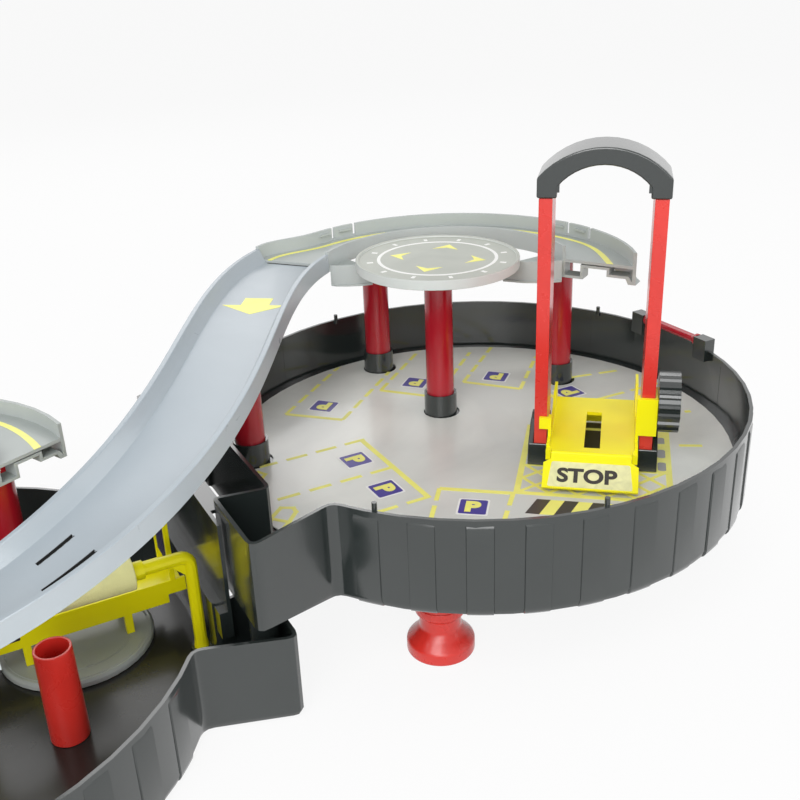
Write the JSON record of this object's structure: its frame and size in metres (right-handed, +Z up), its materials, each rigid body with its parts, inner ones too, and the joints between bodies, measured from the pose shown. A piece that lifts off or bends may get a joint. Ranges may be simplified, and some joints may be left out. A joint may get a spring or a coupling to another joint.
{
  "type": "toy parking garage with lift",
  "caption": "Toy parking garage: round carry case opened into two trays, ring decks on red columns, curved ramp, helipad, hand-wheel lift and car wash.",
  "frame": {"origin": "on the ground, midway between the centres of the two trays", "axes": "+X points to the raised tray with the lift, +Y away from the person playing, +Z up"},
  "size_m": [0.792, 0.38, 0.304],
  "materials": {
    "black": "glossy black moulded plastic",
    "sheet": "glossy light grey printed sheet with yellow bays",
    "lower_sheet": "glossy dark printed sheet",
    "deck": "satin grey-green plastic with a yellow line",
    "ramp": "glossy silver-grey plastic",
    "pad": "satin pale grey plastic with printed ring",
    "column_red": "glossy deep red plastic",
    "post_red": "glossy orange-red plastic",
    "yellow": "glossy yellow plastic",
    "roller_yellow": "pale yellow foam-like plastic",
    "navy": "navy flexible strips"
  },
  "bodies": {
    "frame": {"upper_tray": "black", "upper_floor_sheet": "sheet", "lower_tray": "black", "lower_floor_sheet": "lower_sheet", "upper_handle": "column_red", "lower_handle": "column_red", "leg_front": "post_red", "leg_back": "post_red", "leg_far": "post_red", "ramp_column": "column_red", "deck_back_column": "column_red", "helipad_column": "column_red", "deck_right_column": "column_red", "lower_back_column": "column_red", "lower_left_column": "column_red", "lower_right_column": "column_red", "lower_front_column": "column_red", "upper_deck": "deck", "lower_deck": "deck", "helipad": "pad", "ramp": "ramp", "lift_socket_left": "black", "lift_socket_right": "black", "lift_post_left": "post_red", "lift_post_right": "post_red", "lift_arch": "black", "wash_pipe_left": "yellow", "wash_pipe_right": "yellow", "red_tube": "post_red"},
    "platform": {"lift_platform": "yellow", "flap_pin": "yellow"},
    "wheel": {"lift_pinion": "black", "lift_wheel": "black"},
    "flap": {"stop_flap": "yellow"},
    "turntable": {"turntable": "deck", "wash_track": "yellow", "wash_gate": "yellow", "wash_strips": "navy"},
    "roller": {"wash_roller": "roller_yellow"}
  },
  "joints": [
    {"name": "lift_slide", "type": "slide", "parent": "frame", "child": "platform", "axis": [0, 0, 1], "range_m": [0, 0.098]},
    {"name": "wheel_turn", "type": "hinge", "parent": "platform", "child": "wheel", "pos_m": [0.2555, -0.07285, 0.133], "axis": [0.766, -0.6428, 0], "range_deg": [0, 625]},
    {"name": "flap_turn", "type": "hinge", "parent": "platform", "child": "flap", "pos_m": [0.23547, -0.09671, 0.10475], "axis": [-0.766, 0.6428, 0], "range_deg": [0, 110]},
    {"name": "turntable_spin", "type": "hinge", "parent": "frame", "child": "turntable", "pos_m": [-0.095, 0, 0.0192], "axis": [0, 0, 1], "range_deg": [-20, 200]},
    {"name": "roller_spin", "type": "hinge", "parent": "frame", "child": "roller", "pos_m": [-0.095, -0.0465, 0.0876], "axis": [1, 0, 0], "continuous": true}
  ],
  "couplings": [
    {"joint": "wheel_turn", "follows": "lift_slide", "rad_per_m": 111.11}
  ]
}
